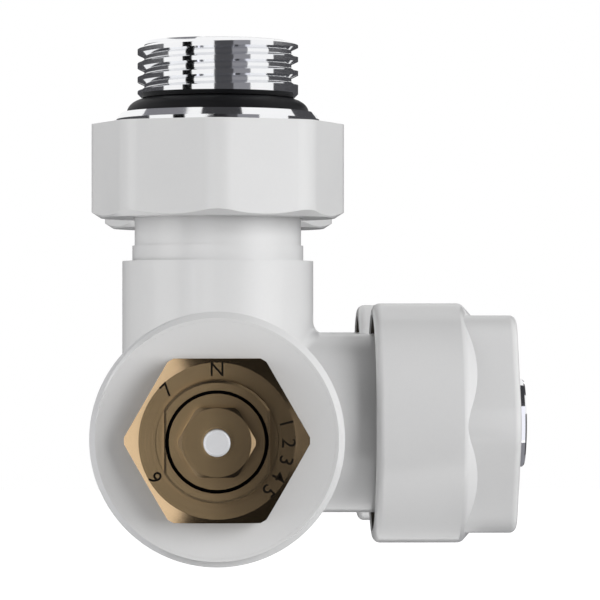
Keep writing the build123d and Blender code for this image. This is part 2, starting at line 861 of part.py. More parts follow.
# Stuffing gland: screwed into the sleeve round the pin, with a small hexagon
with BuildPart() as stuffing_gland:
    with BuildSketch(insert_section.offset(gland_hexagon_out)):
        RegularPolygon(radius=gland_hexagon_across_flats / 2, side_count=hexagon_sides, major_radius=False)
    extrude(amount=gland_hexagon_height)
    turn(
        insert_profile,
        insert_axis,
        (0, gland_hexagon_out),
        (gland_corner_radius, gland_hexagon_out),
        (gland_corner_radius, gland_front_out - gland_face_chamfer),
        (gland_face_radius, gland_front_out),
        (0, gland_front_out),
        mode=Mode.INTERSECT,
    )
    turn(
        insert_profile,
        insert_axis,
        (0, gland_back_out),
        (gland_stem_radius, gland_back_out),
        (gland_stem_radius, sleeve_front_out),
        (gland_flange_radius, sleeve_front_out),
        (gland_flange_radius, gland_hexagon_out),
        (0, gland_hexagon_out),
    )
    turn_box(
        insert_profile,
        insert_axis,
        0,
        pin_radius + slide_clearance,
        gland_back_out,
        gland_front_out,
        mode=Mode.SUBTRACT,
    )
    turn_box(
        insert_profile,
        insert_axis,
        pin_radius + slide_clearance,
        pin_radius + gland_seal_depth,
        gland_seal_out,
        gland_seal_out + gland_seal_width,
        mode=Mode.SUBTRACT,
    )
finish(stuffing_gland.part, "stuffing_gland")

# Gland seal: round the pin
with BuildPart() as gland_seal:
    turn_seal(
        insert_profile,
        insert_axis,
        pin_radius + slide_clearance,
        pin_radius + gland_seal_depth,
        gland_seal_out,
        gland_seal_width,
    )
finish(gland_seal.part, "gland_seal")

# Valve pin: the steel pin that the thermostat head presses
with BuildPart() as valve_pin:
    turn_box(insert_profile, insert_axis, 0, pin_radius, stem_front_out, pin_tip_out)
    tip_edge = valve_pin.edges().filter_by(GeomType.CIRCLE).sort_by(Axis.Y)[0]
    fillet(tip_edge, radius=pin_tip_fillet)
finish(valve_pin.part, "valve_pin")

# Valve stem: carries the pin's push through the web to the disc, and its collar takes the spring
with BuildPart() as valve_stem:
    turn(
        insert_profile,
        insert_axis,
        (0, disc_back_out),
        (stem_radius, disc_back_out),
        (stem_radius, stem_collar_out),
        (stem_collar_radius, stem_collar_out),
        (stem_collar_radius, stem_front_out),
        (0, stem_front_out),
    )
finish(valve_stem.part, "valve_stem")

# Return spring: opens the valve, between the sleeve's web and the stem's collar
spring_start_out = sleeve_web_front_out + spring_wire_radius + slide_clearance
spring_length = stem_collar_out - spring_wire_radius - slide_clearance - spring_start_out
with BuildPart() as return_spring:
    with BuildLine() as coil:
        Helix(
            pitch=spring_length / spring_turns,
            height=spring_length,
            radius=spring_radius,
            center=(0, -spring_start_out, insert_z),
            direction=(0, -1, 0),
        )
    with BuildSketch(Plane(coil.line @ 0, z_dir=coil.line % 0)):
        Circle(spring_wire_radius)
    sweep(is_frenet=True)
finish(return_spring.part, "return_spring")

# Disc holder: the cup at the stem's end
with BuildPart() as disc_holder:
    turn(
        insert_profile,
        insert_axis,
        (disc_radius, disc_back_out - disc_recess),
        (holder_radius, disc_back_out - disc_recess),
        (holder_radius, disc_back_out - disc_recess + holder_length),
        (stem_radius, disc_back_out - disc_recess + holder_length),
        (stem_radius, disc_back_out),
        (disc_radius, disc_back_out),
    )
finish(disc_holder.part, "disc_holder")

# Valve disc: the rubber disc that closes on the supply's seat
with BuildPart() as valve_disc:
    turn_box(insert_profile, insert_axis, 0, disc_radius, disc_face_out, disc_back_out)
finish(valve_disc.part, "valve_disc")


# Lockshield insert: a hexagon with a spigot for the cap, screwed into the rear boss
with BuildPart() as lockshield_insert:
    with BuildSketch(lock_section.offset(rear_face_out)):
        RegularPolygon(radius=lock_hexagon_across_flats / 2, side_count=hexagon_sides, major_radius=False)
    extrude(amount=lock_hexagon_thickness)
    turn_box(lock_profile, lock_axis, 0, lock_barrel_radius, lock_back_out, rear_face_out)
    turn_box(lock_profile, lock_axis, 0, lock_spigot_radius, lock_hexagon_end, lock_spigot_end)
    turn_box(
        lock_profile,
        lock_axis,
        0,
        lock_spindle_radius + slide_clearance,
        lock_back_out,
        lock_spigot_end,
        mode=Mode.SUBTRACT,
    )
finish(lockshield_insert.part, "lockshield_insert")

# Lockshield spindle: closes its cone on the return's seat, turned by a key in its socket
with BuildPart() as lockshield_spindle:
    turn(
        lock_profile,
        lock_axis,
        (0, lock_tip_out),
        (lock_cone_tip_radius, lock_tip_out),
        (lock_cone_radius, lock_cone_out),
        (lock_cone_radius, lock_shoulder_out),
        (lock_spindle_radius, lock_shoulder_out),
        (lock_spindle_radius, lock_spigot_end - lock_spindle_sink),
        (0, lock_spigot_end - lock_spindle_sink),
    )
    turn_box(
        lock_profile,
        lock_axis,
        lock_spindle_radius - lock_seal_depth,
        lock_spindle_radius,
        lock_seal_out,
        lock_seal_out + lock_seal_width,
        mode=Mode.SUBTRACT,
    )
    with BuildSketch(lock_section.offset(lock_spigot_end - lock_spindle_sink)):
        RegularPolygon(radius=lock_socket_across_flats / 2, side_count=hexagon_sides, major_radius=False)
    extrude(amount=-lock_socket_depth, mode=Mode.SUBTRACT)
finish(lockshield_spindle.part, "lockshield_spindle")

# Lockshield seal: round the spindle, turning with it
with BuildPart() as lockshield_seal:
    turn_seal(
        lock_profile,
        lock_axis,
        lock_spindle_radius - lock_seal_depth,
        lock_spindle_radius,
        lock_seal_out,
        lock_seal_width,
    )
finish(lockshield_seal.part, "lockshield_seal")

# Lockshield cap: a fluted cap screwed on the spigot
with BuildPart() as lockshield_cap:
    turn_box(lock_profile, lock_axis, 0, cap_radius, cap_start_out, cap_start_out + cap_length)
    cap_edge = lockshield_cap.edges().filter_by(GeomType.CIRCLE).sort_by(Axis.Y)[-1]
    fillet(cap_edge, radius=cap_edge_fillet)
    with BuildSketch(lock_section.offset(cap_start_out)):
        with PolarLocations(cap_radius, cap_flute_count):
            Circle(cap_flute_radius)
    extrude(amount=cap_length, mode=Mode.SUBTRACT)
    turn_box(
        lock_profile,
        lock_axis,
        0,
        cap_bore_radius,
        cap_start_out,
        cap_start_out + cap_length - cap_end_thickness,
        mode=Mode.SUBTRACT,
    )
finish(lockshield_cap.part, "lockshield_cap")
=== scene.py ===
import math
import bpy
import bmesh
from mathutils import Matrix, Vector


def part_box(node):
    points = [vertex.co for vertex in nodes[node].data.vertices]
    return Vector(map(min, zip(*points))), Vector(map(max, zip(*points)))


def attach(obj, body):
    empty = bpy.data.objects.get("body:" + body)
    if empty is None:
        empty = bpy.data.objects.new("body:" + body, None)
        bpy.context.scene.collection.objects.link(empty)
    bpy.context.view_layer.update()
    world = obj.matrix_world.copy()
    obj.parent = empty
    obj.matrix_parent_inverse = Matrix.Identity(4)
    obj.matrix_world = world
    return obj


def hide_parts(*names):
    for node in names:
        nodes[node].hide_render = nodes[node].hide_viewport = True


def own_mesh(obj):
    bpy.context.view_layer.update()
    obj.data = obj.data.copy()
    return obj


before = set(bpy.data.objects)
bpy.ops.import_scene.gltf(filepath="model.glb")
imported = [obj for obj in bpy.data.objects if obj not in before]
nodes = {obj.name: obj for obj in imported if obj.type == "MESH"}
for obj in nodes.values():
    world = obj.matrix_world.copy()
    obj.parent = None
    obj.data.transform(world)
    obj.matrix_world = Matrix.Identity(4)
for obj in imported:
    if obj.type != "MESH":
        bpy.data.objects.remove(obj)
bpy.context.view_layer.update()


# Valve body. One hot-pressed brass casting: two risers, two pipe necks and the boss for the
# thermostat head. It is sprayed white and stoved, over the boss's M30 x 1.5 thread too, and its
# bores are turned bare afterwards.
class Socket:
    """An output in a node tree. Operators on it add Math nodes, and add() makes any other node.

    On masks and sizes alike, & takes the smaller of two and | the larger.
    """

    def __init__(self, tree, output=None):
        self.tree = tree
        self.output = output

    def feed(self, socket, value):
        """Links an output to an input, or sets the input to a plain value."""
        if isinstance(value, Socket):
            self.tree.links.new(value.output, socket)
        else:
            socket.default_value = value

    def add(self, kind, settings=None, values=None, result=0):
        """Makes a node: its settings first, then its inputs by name or number."""
        node = self.tree.nodes.new(kind)
        for name, setting in (settings or {}).items():
            setattr(node, name, setting)
        for key, value in (values or {}).items():
            self.feed(node.inputs[key], value)
        return Socket(self.tree, node.outputs[result])

    def math(self, operation, *values):
        return self.add("ShaderNodeMath", {"operation": operation}, dict(enumerate(values)))

    def vector(self, operation, *values, result=0):
        settings = {"operation": operation}
        return self.add("ShaderNodeVectorMath", settings, dict(enumerate(values)), result)

    def blend(self, first, second):
        """Two colours mixed by this socket; the node's colour sockets go by number."""
        values = {0: self, 6: first, 7: second}
        return self.add("ShaderNodeMix", {"data_type": "RGBA"}, values, result=2)

    def __add__(self, other):
        return self.math("ADD", self, other)

    def __radd__(self, other):
        return self.math("ADD", other, self)

    def __sub__(self, other):
        return self.math("SUBTRACT", self, other)

    def __rsub__(self, other):
        return self.math("SUBTRACT", other, self)

    def __mul__(self, other):
        return self.math("MULTIPLY", self, other)

    def __rmul__(self, other):
        return self.math("MULTIPLY", other, self)

    def __truediv__(self, other):
        return self.math("DIVIDE", self, other)

    def __lt__(self, other):
        return self.math("LESS_THAN", self, other)

    def __gt__(self, other):
        return self.math("GREATER_THAN", self, other)

    def __and__(self, other):
        return self.math("MINIMUM", self, other)

    def __or__(self, other):
        return self.math("MAXIMUM", self, other)


def new_finish(name, **constants):
    """A Principled material with its constants set: the material, its tree and its shader."""
    material = bpy.data.materials.new(name)
    material.use_nodes = True
    shader = material.node_tree.nodes["Principled BSDF"]
    for socket, value in constants.items():
        shader.inputs[socket.replace("_", " ")].default_value = value
    return material, Socket(material.node_tree), shader


def around(place, centre, axis):
    """Radius and height of a place about an axis through a centre."""
    offset = place.vector("SUBTRACT", place, centre)
    cross = place.vector("CROSS_PRODUCT", offset, axis)
    radius = place.vector("LENGTH", cross, result="Value")
    height = place.vector("DOT_PRODUCT", offset, axis, result="Value")
    return radius, height


supply_riser = (0, 0, 0)
return_riser = (0, 0.05, 0)
riser_axis = (0, 0, 1)
supply_pipe = (0, 0, -0.0429)
return_pipe = (0, 0.05, -0.0429)
pipe_axis = (1, 0, 0)
insert_centre = (0, 0, -0.0435)
insert_axis = (0, -1, 0)
lock_centre = (0, 0.05, -0.0435)
lock_axis = (0, 1, 0)
brass_color = (0.52, 0.37, 0.2, 1)
cut_brass_color = (0.6, 0.435, 0.245, 1)
brass_tones = (brass_color, cut_brass_color)


def enamel(name, bare_faces, bare_color):
    """White stoved enamel over brass, left bare on the turned faces that bare_faces marks."""
    material, tree, shader = new_finish(name, IOR=1.5, Coat_Roughness=0.1)
    place = tree.add("ShaderNodeTexCoord", result="Object")
    bare = bare_faces(place)
    cloud = tree.add("ShaderNodeTexNoise", values={"Vector": place, "Scale": 110.0, "Detail": 4.0})
    fleck = tree.add("ShaderNodeTexNoise", values={"Vector": place, "Scale": 2600.0, "Detail": 1.0})
    white = (cloud * 0.7 + fleck * 0.3).blend((0.62, 0.62, 0.625, 1), (0.67, 0.67, 0.667, 1))
    tree.feed(shader.inputs["Base Color"], bare.blend(white, bare_color))
    tree.feed(shader.inputs["Metallic"], bare)
    tree.feed(shader.inputs["Roughness"], 0.3 + cloud * 0.1)
    tree.feed(shader.inputs["Coat Weight"], 0.4 - bare * 0.4)
    peel = tree.add("ShaderNodeTexNoise", values={"Vector": place, "Scale": 900.0, "Detail": 2.0})
    relief = {"Height": peel, "Strength": 0.12, "Distance": 0.00004}
    tree.feed(shader.inputs["Normal"], tree.add("ShaderNodeBump", values=relief))
    return material


def any_of(marks):
    """One mask for all the places that several masks mark."""
    found = marks[0]
    for mark in marks[1:]:
        found = found | mark
    return found


def bored(place, centre, axis, *steps):
    """Marks a bore's turned steps, each a radius and the height where it ends in the casting."""
    radius, height = around(place, centre, axis)
    return any_of([(radius < step_radius) & (height > end) for step_radius, end in steps])


water_bore, pilot_bore = (0.0063, -0.0505), (0.0104, -0.01155)
pipe_mouth, pipe_bore = (0.0128, 0.0325), (0.0093, 0.005)
insert_bore, lock_bore = (0.00942, 0.0), (0.00805, 0.0)


def body_bores(place):
    """The casting's turned faces: risers, pilots, pipe bores, insert bore, lockshield bore."""
    marks = [bored(place, insert_centre, insert_axis, insert_bore)]
    marks.append(bored(place, lock_centre, lock_axis, lock_bore))
    for riser in (supply_riser, return_riser):
        marks.append(bored(place, riser, riser_axis, water_bore, pilot_bore))
    for pipe in (supply_pipe, return_pipe):
        marks.append(bored(place, pipe, pipe_axis, pipe_mouth, pipe_bore))
    return any_of(marks)


def new_tree(name, sizes, counts=()):
    """A geometry tree with inputs for sizes, counts and the finish: its maker and its inputs."""
    tree = bpy.data.node_groups.new(name, "GeometryNodeTree")
    tree.interface.new_socket("Mesh", in_out="OUTPUT", socket_type="NodeSocketGeometry")
    kinds = {size: "NodeSocketFloat" for size in sizes}
    kinds.update({count: "NodeSocketInt" for count in counts})
    kinds["Finish"] = "NodeSocketMaterial"
    for socket, kind in kinds.items():
        tree.interface.new_socket(socket, in_out="INPUT", socket_type=kind)
    given = tree.nodes.new("NodeGroupInput").outputs
    return Socket(tree), {socket.name: Socket(tree, socket) for socket in given if socket.name}


def end_tree(make, mesh, finish):
    """Ends a geometry tree, with its instances made real and its finish put on."""
    realized = make.add("GeometryNodeRealizeInstances", values={"Geometry": mesh})
    dressed = {"Geometry": realized, "Material": finish}
    dressed = make.add("GeometryNodeSetMaterial", values=dressed)
    result = make.tree.nodes.new("NodeGroupOutput")
    make.feed(result.inputs["Mesh"], dressed)
    return make.tree


merge_distance = 0.0000005


def thread_tree():
    """Geometry nodes for a male thread: a closed sleeve whose skin follows one helix."""
    sizes = ("Crest Radius", "Root Radius", "Foot Radius", "Pitch", "Phase")
    sizes += ("Start", "Start Radius", "Full From", "Full To", "End", "End Radius")
    sizes += ("Crest Share", "Root Share")
    make, size = new_tree("male_thread", sizes, ("Steps", "Turns"))

    # Rows 0 and 1 and the last three close the sleeve, and four rows a turn follow the helix
    rows = size["Turns"] * 4 + 5
    columns = size["Steps"] + 1
    grid = make.add("GeometryNodeMeshGrid", values={"Vertices X": columns, "Vertices Y": rows})
    index = make.add("GeometryNodeInputIndex")
    column = make.math("FLOOR", (index + 0.5) / rows)
    row = index - column * rows
    share = column / size["Steps"]
    corner = row - 2.0
    turn = make.math("FLOOR", (corner + 0.5) / 4.0)
    corner = corner - turn * 4.0
    upper = corner > 1.5
    way = (corner - upper * 2.0) * 2.0 - 1.0
    half = (size["Crest Share"] + (size["Root Share"] - size["Crest Share"]) * upper) * 0.5
    along = turn - 1.0 + upper * 0.5 + way * half
    height = size["Start"] + size["Pitch"] * (along + share + size["Phase"])
    height = (height | size["Full From"]) & size["Full To"]

    # The skin's radius at that height, full below the first groove, which runs in at the back
    place = (height - size["Start"]) / size["Pitch"] - share - size["Phase"]
    from_crest = make.math("ABSOLUTE", place - make.math("ROUND", place))
    flank = 0.5 - (size["Crest Share"] + size["Root Share"]) * 0.5
    depth = ((from_crest - size["Crest Share"] * 0.5) / flank | 0.0) & 1.0
    run_in = ((share * 8.0) & 1.0) | (place > 1.0)
    depth = depth * run_in * (place > 0.0)
    radius = size["Crest Radius"] - (size["Crest Radius"] - size["Root Radius"]) * depth

    last = rows - 1.0
    for offset, rim, level in (
        (0.0, "Foot Radius", "Start"),
        (1.0, "Start Radius", "Start"),
        (last - 2.0, "End Radius", "End"),
        (last - 1.0, "Foot Radius", "End"),
        (last, "Foot Radius", "Start"),
    ):
        here = make.math("COMPARE", row, offset, 0.4)
        radius = radius + (size[rim] - radius) * here
        height = height + (size[level] - height) * here
    angle = share * math.tau + math.pi / 2
    across = radius * make.math("COSINE", angle)
    forward = radius * make.math("SINE", angle)
    spot = make.add("ShaderNodeCombineXYZ", values={"X": across, "Y": forward, "Z": height})
    moved = make.add("GeometryNodeSetPosition", values={"Geometry": grid, "Position": spot})
    merged = {"Geometry": moved, "Distance": merge_distance}
    merged = make.add("GeometryNodeMergeByDistance", values=merged)
    return end_tree(make, merged, size["Finish"])


male_thread = thread_tree()


def placed(name, data):
    """An object in the scene that holds this data."""
    made = bpy.data.objects.new(name, data)
    bpy.context.scene.collection.objects.link(made)
    return made


def plain_mesh(holder):
    """The mesh that an object's modifiers or its text make."""
    bpy.context.view_layer.update()
    graph = bpy.context.evaluated_depsgraph_get()
    return bpy.data.meshes.new_from_object(holder.evaluated_get(graph))


sharp_edge_angle = 32


def grown(tree, name, inputs):
    """The mesh that a geometry tree makes with these inputs, on an object of its own."""
    holder = placed(name, bpy.data.meshes.new(name))
    modifier = holder.modifiers.new(name, "NODES")
    modifier.node_group = tree
    for item in tree.interface.items_tree:
        if item.in_out == "INPUT" and item.name in inputs:
            modifier[item.identifier] = inputs[item.name]
    mesh = plain_mesh(holder)
    holder.modifiers.remove(modifier)
    holder.data = mesh
    shape = bmesh.new()
    shape.from_mesh(mesh)
    bmesh.ops.recalc_face_normals(shape, faces=shape.faces)
    shape.to_mesh(mesh)
    shape.free()
    mesh.shade_smooth()
    mesh.set_sharp_from_angle(angle=math.radians(sharp_edge_angle))
    return holder


def recut(node, name, finish, centre, axis, low, high, inner, outer, foot):
    """A copy of a CAD node, pulled in to a foot radius where a real thread takes its place."""
    mesh = nodes[node].data.copy()
    mesh.name = name
    normals = [corner.vector.copy() for corner in mesh.corner_normals]
    shape = bmesh.new()
    shape.from_mesh(mesh)
    bmesh.ops.remove_doubles(shape, verts=shape.verts, dist=merge_distance)
    for vertex in shape.verts:
        offset = vertex.co - Vector(centre)
        level = offset.dot(Vector(axis))
        spoke = offset - Vector(axis) * level
        if low < level < high and inner < spoke.length < outer:
            vertex.co -= spoke * (1 - foot / spoke.length)
    shape.to_mesh(mesh)
    shape.free()

    # The CAD node's own normals keep its rounded edges smooth and its flat faces flat
    if len(mesh.loops) == len(normals):
        mesh.normals_split_custom_set(normals)
    mesh.materials.clear()
    mesh.materials.append(finish)
    return placed(name, mesh)


def unite(piece, *others):
    """Joins the other objects' meshes into a piece."""
    with bpy.context.temp_override(active_object=piece, selected_editable_objects=[piece, *others]):
        bpy.ops.object.join()
    return piece


body_enamel = enamel("body_enamel", body_bores, brass_color)
head_thread_sizes = {
    "Crest Radius": 0.015,
    "Root Radius": 0.01412,
    "Foot Radius": 0.0139,
    "Pitch": 0.0015,
    "Start": 0.03735,
    "Start Radius": 0.01426,
    "Full From": 0.03809,
    "Full To": 0.04561,
    "End": 0.04635,
    "End Radius": 0.01426,
    "Crest Share": 0.22,
    "Root Share": 0.24,
    "Phase": -0.4,
    "Steps": 128,
    "Turns": 8,
    "Finish": body_enamel,
}
head_thread = grown(male_thread, "head_thread", head_thread_sizes)
to_insert = Matrix.Translation(insert_centre) @ Matrix.Rotation(math.radians(90), 4, "X")
head_thread.data.transform(to_insert)
valve_body = recut(
    "valve_body",
    "cast_body",
    body_enamel,
    insert_centre,
    insert_axis,
    low=0.0372,
    high=0.0465,
    inner=0.01395,
    outer=0.0151,
    foot=0.0139,
)
unite(valve_body, head_thread)
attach(valve_body, "valve")
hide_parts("valve_body")


# Retaining rings and pilot seals. A split brass ring snaps in each neck's groove and holds its
# union nut, and a rubber ring seals each pilot in its nipple.
def wear(finish, *names):
    """Gives CAD nodes a finish in place of their packed one."""
    for name in names:
        nodes[name].data.materials.clear()
        nodes[name].data.materials.append(finish)


def turned(name, tones, centre, axis, roughness, ring_scale, ring_depth, painted_shade=None, metallic=1.0):
    """Turned metal: fine rings about its axis, with slow drifts of tone and polish, and near-black
    painted shade where a gap mask marks.
    """
    material, tree, shader = new_finish(name, Metallic=metallic)
    place = tree.add("ShaderNodeTexCoord", result="Object")
    radius, height = around(place, centre, axis)
    ring_place = tree.add("ShaderNodeCombineXYZ", values={"X": radius, "Y": height})
    rings = {"Vector": ring_place, "Scale": ring_scale, "Detail": 3.0, "Roughness": 0.6}
    rings = tree.add("ShaderNodeTexNoise", values=rings)
    drift = tree.add("ShaderNodeTexNoise", values={"Vector": place, "Scale": 160.0, "Detail": 3.0})
    tone = (rings * 0.5 + drift * 0.5).blend(*tones)
    # Painted shade: the tone is painted near black in the narrow gap that the mask marks
    if painted_shade:
        tone = painted_shade(radius, height).blend(tone, (0.01, 0.008, 0.006, 1))
    tree.feed(shader.inputs["Base Color"], tone)
    tree.feed(shader.inputs["Roughness"], roughness + (drift - 0.5) * 0.08 + (rings - 0.5) * 0.06)
    relief = {"Height": rings, "Strength": 0.3, "Distance": ring_depth}
    tree.feed(shader.inputs["Normal"], tree.add("ShaderNodeBump", values=relief))
    return material


def moulded(name, ior, tones, cloud_noise, grain_noise, roughness, grain_strength):
    """Moulded rubber or plastic: cloudy tone and polish over a fine grain."""
    material, tree, shader = new_finish(name, IOR=ior)
    place = tree.add("ShaderNodeTexCoord", result="Object")
    cloud = tree.add("ShaderNodeTexNoise", values={"Vector": place, **cloud_noise})
    grain = tree.add("ShaderNodeTexNoise", values={"Vector": place, **grain_noise})
    tree.feed(shader.inputs["Base Color"], cloud.blend(*tones))
    least, most = roughness
    tree.feed(shader.inputs["Roughness"], least + cloud * (most - least))
    relief = {"Height": grain, "Strength": grain_strength, "Distance": 0.00002}
    tree.feed(shader.inputs["Normal"], tree.add("ShaderNodeBump", values=relief))
    return material


black_rubber = moulded(
    "black_rubber",
    ior=1.25,
    tones=((0.004, 0.004, 0.005, 1), (0.008, 0.008, 0.009, 1)),
    cloud_noise={"Scale": 300.0, "Detail": 4.0},
    grain_noise={"Scale": 5000.0, "Detail": 2.0},
    roughness=(0.42, 0.58),
    grain_strength=0.3,
)
riser_brass = turned(
    "riser_brass",
    brass_tones,
    supply_riser,
    riser_axis,
    roughness=0.3,
    ring_scale=5200.0,
    ring_depth=0.00002,
)
wear(riser_brass, "supply_retaining_ring", "return_retaining_ring")
wear(black_rubber, "supply_pilot_seal", "return_pilot_seal")


# Nipples. Turned brass, nickelled and chromed bright: a G1/2 radiator thread above a collar that
# holds the union nut's thread. A key in the hexagonal socket screws each into the radiator.
def chromed(name, centre, axis):
    """Bright chrome plate with faint turning marks under it."""
    material, tree, shader = new_finish(name, Metallic=1.0)
    place = tree.add("ShaderNodeTexCoord", result="Object")
    radius, height = around(place, centre, axis)
    ring_place = tree.add("ShaderNodeCombineXYZ", values={"X": radius, "Y": height})
    rings = {"Vector": ring_place, "Scale": 4200.0, "Detail": 2.0}
    rings = tree.add("ShaderNodeTexNoise", values=rings)
    drift = tree.add("ShaderNodeTexNoise", values={"Vector": place, "Scale": 220.0, "Detail": 3.0})
    tone = drift.blend((0.86, 0.865, 0.88, 1), (0.93, 0.935, 0.945, 1))
    tree.feed(shader.inputs["Base Color"], tone)
    tree.feed(shader.inputs["Roughness"], 0.045 + drift * 0.04 + rings * 0.02)
    relief = {"Height": rings, "Strength": 0.1, "Distance": 0.000004}
    tree.feed(shader.inputs["Normal"], tree.add("ShaderNodeBump", values=relief))
    return material


for side, riser in (("supply", supply_riser), ("return", return_riser)):
    chrome = chromed(f"{side}_chrome", riser, riser_axis)
    radiator_thread_sizes = {
        "Crest Radius": 0.01048,
        "Root Radius": 0.0096,
        "Foot Radius": 0.0092,
        "Pitch": 0.001814,
        "Start": -0.00055,
        "Start Radius": 0.00993,
        "Full From": 0.0,
        "Full To": 0.00635,
        "End": 0.0068,
        "End Radius": 0.0093,
        "Crest Share": 0.32,
        "Root Share": 0.22,
        "Phase": 0.053,
        "Steps": 144,
        "Turns": 7,
        "Finish": chrome,
    }
    radiator_thread = grown(male_thread, f"{side}_radiator_thread", radiator_thread_sizes)
    radiator_thread.data.transform(Matrix.Translation(riser))
    nipple = recut(
        f"{side}_nipple",
        f"{side}_screwed_nipple",
        chrome,
        riser,
        riser_axis,
        low=-0.0006,
        high=0.0069,
        inner=0.00925,
        outer=0.0106,
        foot=0.0092,
    )
    unite(nipple, radiator_thread)
    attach(nipple, "valve")
    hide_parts(f"{side}_nipple")


# Nipple seals. Black rubber rings moulded to a dome, pressed on the nipples' collars, which seal
# against the radiator's face.
wear(black_rubber, "supply_nipple_seal", "return_nipple_seal")


# Union nuts. Octagonal nuts of pressed brass with rounded corners, enamelled white outside and
# bare in their thread; each turns on its riser's neck, over the retaining ring.
union_nut_bore = (0.01335, -0.0142)


def union_bores(place):
    """The union nuts' turned threads, above their floors."""
    risers = (supply_riser, return_riser)
    return any_of([bored(place, riser, riser_axis, union_nut_bore) for riser in risers])


union_enamel = enamel("union_enamel", union_bores, brass_color)
wear(union_enamel, "supply_union_nut", "return_union_nut")


# Pipe fittings. A chromed nozzle seats in each pipe neck's cone with a rubber ring, two rubber
# rings seal it in the pipe's bore, and a split brass ring clamps the pipe's end on it.
for side, pipe in (("supply", supply_pipe), ("return", return_pipe)):
    wear(chromed(f"{side}_nozzle_chrome", pipe, pipe_axis), f"{side}_nozzle")
    clamp_brass = turned(
        f"{side}_clamp_brass",
        brass_tones,
        pipe,
        pipe_axis,
        roughness=0.3,
        ring_scale=5200.0,
        ring_depth=0.00002,
    )
    wear(clamp_brass, f"{side}_clamp_ring")
    wear(black_rubber, f"{side}_cone_seal", f"{side}_pipe_seals")


# Pipe nuts. Pressed brass nuts, enamelled white: a round collar over the body's thread, a
# shoulder, and a hexagon for the spanner; bare in the mouth, the thread and the clamping cone,
# where the brass is painted near black as painted shade.
pipe_thread_radius = 0.01335
pipe_thread_end = 0.0383
pipe_mouth_radius = 0.0142
pipe_mouth_start = 0.0203
pipe_mouth_end = 0.0225
# Painted shade: the pipe nuts' bare brass is painted near black for the shade in their deep mouths
painted_shade_brass_color = (0.05, 0.04, 0.03, 1)


def pipe_bores(place):
    """The pipe nuts' mouths, threads and cones."""
    marks = []
    for pipe in (supply_pipe, return_pipe):
        radius, height = around(place, pipe, pipe_axis)
        marks.append((radius < pipe_thread_radius) & (height < pipe_thread_end))
        in_mouth = (height > pipe_mouth_start) & (height < pipe_mouth_end)
        marks.append((radius < pipe_mouth_radius) & in_mouth)
    return any_of(marks)


# The pipe nuts' bare faces take the near-black painted shade
pipe_enamel = enamel("pipe_enamel", pipe_bores, painted_shade_brass_color)
wear(pipe_enamel, "supply_pipe_nut", "return_pipe_nut")


# Valve insert. Turned brass, screwed into the boss by its hexagon; a rubber ring seals its barrel.
# The numbers of the presetting are laser-marked black round its face.
# The narrow gap round the gland, where painted shade darkens the brass
gap_inner_radius = 0.00553
gap_outer_radius = 0.00597
gap_mouth = 0.0529


def gland_gap_shade(radius, height):
    """The narrow gap round the gland, painted near black: painted shade in the gap."""
    return (radius > gap_inner_radius) & (radius < gap_outer_radius) & (height < gap_mouth)


insert_brass = turned(
    "insert_brass",
    brass_tones,
    insert_centre,
    insert_axis,
    roughness=0.25,
    ring_scale=3600.0,
    ring_depth=0.00001,
    painted_shade=gland_gap_shade,
)
wear(insert_brass, "insert_body")
wear(black_rubber, "insert_seal")

black_mark, mark_tree, mark_shader = new_finish("black_mark", IOR=1.15)
mark_place = mark_tree.add("ShaderNodeTexCoord", result="Object")
mark_burn = {"Vector": mark_place, "Scale": 7000.0, "Detail": 2.0}
mark_burn = mark_tree.add("ShaderNodeTexNoise", values=mark_burn)
mark_tone = mark_burn.blend((0.004, 0.003, 0.002, 1), (0.012, 0.009, 0.006, 1))
mark_tree.feed(mark_shader.inputs["Base Color"], mark_tone)
mark_tree.feed(mark_shader.inputs["Roughness"], 0.5 + mark_burn * 0.2)

dial_face = -0.05
mark_radius = 0.00824
mark_size = 0.0023
mark_height = 0.00002
mark_boldness = 0.00001
mark_bearings = {
    "N": 90.0,
    "1": 14.5,
    "2": -1.7,
    "3": -15.8,
    "4": -30.0,
    "5": -44.2,
    "6": -149.4,
    "7": 134.5,
}
marks = []
for mark, bearing in mark_bearings.items():
    letter = bpy.data.curves.new(f"mark_{mark}", "FONT")
    letter.body = mark
    letter.size = mark_size
    letter.align_x = "CENTER"
    letter.align_y = "CENTER"
    letter.extrude = mark_height
    letter.offset = mark_boldness
    letter.resolution_u = 6
    letter_object = placed(f"mark_{mark}", letter)
    letter_mesh = plain_mesh(letter_object)
    bpy.data.objects.remove(letter_object)
    outward = Vector((math.cos(math.radians(bearing)), 0, math.sin(math.radians(bearing))))
    rightward = Vector((outward.z, 0, -outward.x))
    seat = Matrix((rightward, outward, Vector(insert_axis))).transposed().to_4x4()
    seat.translation = Vector((0, dial_face, insert_centre[2])) + outward * mark_radius
    letter_mesh.transform(seat)
    letter_mesh.materials.clear()
    letter_mesh.materials.append(black_mark)
    marks.append(placed(f"dial_{mark}", letter_mesh))
dial_numbers = unite(*marks)
dial_numbers.name = "dial_numbers"
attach(dial_numbers, "valve")


# Presetting ring and sleeve. Turned brass; the ring's two flats take the setting key, and the
# sleeve's ports behind it throttle the flow. A rubber ring seals the sleeve.
wear(insert_brass, "presetting_ring", "presetting_sleeve")
wear(black_rubber, "sleeve_seal")


# Stuffing gland, pin and disc. A small brass gland with a rubber ring guides the ground steel pin,
# which pushes the stem and the rubber disc towards the seat.
gland_brass = turned(
    "gland_brass",
    brass_tones,
    insert_centre,
    insert_axis,
    roughness=0.25,
    ring_scale=4600.0,
    ring_depth=0.00001,
    painted_shade=gland_gap_shade,
)
wear(gland_brass, "stuffing_gland", "valve_stem", "disc_holder")
wear(black_rubber, "gland_seal", "valve_disc")
ground_steel = turned(
    "ground_steel",
    ((0.7, 0.705, 0.72, 1), (0.78, 0.785, 0.8, 1)),
    insert_centre,
    insert_axis,
    roughness=0.3,
    ring_scale=9000.0,
    ring_depth=0.000002,
    metallic=0.3,
)
wear(ground_steel, "valve_pin")


